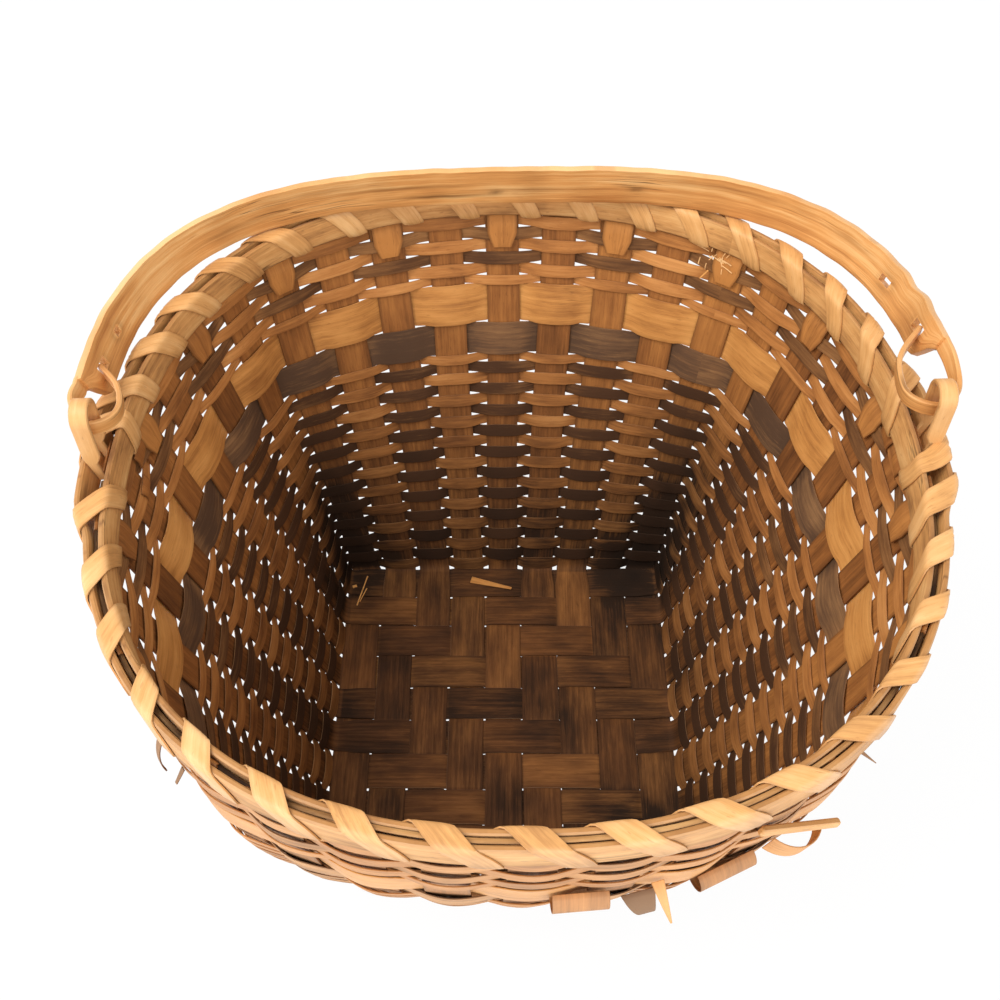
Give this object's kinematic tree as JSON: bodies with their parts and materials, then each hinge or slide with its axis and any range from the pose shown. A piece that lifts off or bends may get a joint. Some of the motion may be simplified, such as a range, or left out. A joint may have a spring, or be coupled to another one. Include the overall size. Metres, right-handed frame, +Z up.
{
  "type": "splint basket",
  "caption": "Open woven splint basket with a square twill base, flared walls with contrast bands, lashed rim and a swing handle on bent ears.",
  "frame": {"origin": "middle of the underside of the base, on the face it rests on", "axes": "+X to the right, along the line of the ears; +Y to the back, where the handle lies at rest; +Z up"},
  "size_m": [0.4031, 0.3938, 0.2621],
  "materials": {
    "splint": "aged orange-brown splint, dry and matt",
    "light_weaver": "aged tan splint, matt with worn sheen",
    "dark_weaver": "splint stained near black, matt",
    "dark_band": "wide splint stained grey-brown, matt",
    "tan_band": "wide light tan splint, smooth",
    "hoop": "split wood hoop, grey tan",
    "lashing": "light tan splint, smooth and slightly glossy",
    "handle": "honey-coloured bent wood with a worn sheen"
  },
  "bodies": {
    "basket": {"lengthwise_splint_1": "splint", "cross_splint_1": "splint", "lengthwise_splint_2": "splint", "cross_splint_2": "splint", "lengthwise_splint_3": "splint", "cross_splint_3": "splint", "lengthwise_splint_4": "splint", "cross_splint_4": "splint", "lengthwise_splint_5": "splint", "cross_splint_5": "splint", "lengthwise_splint_6": "splint", "cross_splint_6": "splint", "lengthwise_splint_7": "splint", "cross_splint_7": "splint", "lengthwise_splint_8": "splint", "cross_splint_8": "splint", "lengthwise_splint_9": "splint", "cross_splint_9": "splint", "lower_row_1": "light_weaver", "lower_row_2": "dark_weaver", "lower_row_3": "light_weaver", "lower_row_4": "dark_weaver", "lower_row_5": "light_weaver", "lower_row_6": "dark_weaver", "lower_row_7": "light_weaver", "lower_row_8": "dark_weaver", "lower_row_9": "light_weaver", "lower_row_10": "dark_weaver", "lower_row_11": "light_weaver", "lower_row_12": "dark_weaver", "lower_row_13": "light_weaver", "lower_row_14": "dark_weaver", "lower_row_15": "light_weaver", "lower_row_16": "dark_weaver", "lower_row_17": "light_weaver", "lower_row_18": "dark_weaver", "lower_row_19": "light_weaver", "lower_row_20": "dark_weaver", "lower_row_21": "light_weaver", "dark_band": "dark_band", "tan_band": "tan_band", "upper_row_1": "light_weaver", "upper_row_2": "light_weaver", "upper_row_3": "dark_weaver", "upper_row_4": "light_weaver", "upper_row_5": "dark_weaver", "upper_row_6": "light_weaver", "inner_hoop": "hoop", "outer_hoop": "hoop", "rim_filler_front": "hoop", "rim_filler_back": "hoop", "rim_lashing": "lashing", "ear_left": "lashing", "ear_right": "lashing"},
    "handle": {"handle": "handle"}
  },
  "joints": [
    {"name": "handle_swing", "type": "hinge", "parent": "basket", "child": "handle", "pos_m": [0.00505, 0.00302, 0.246], "axis": [0.9995, 0.0314, 0], "range_deg": [0, 180]}
  ]
}
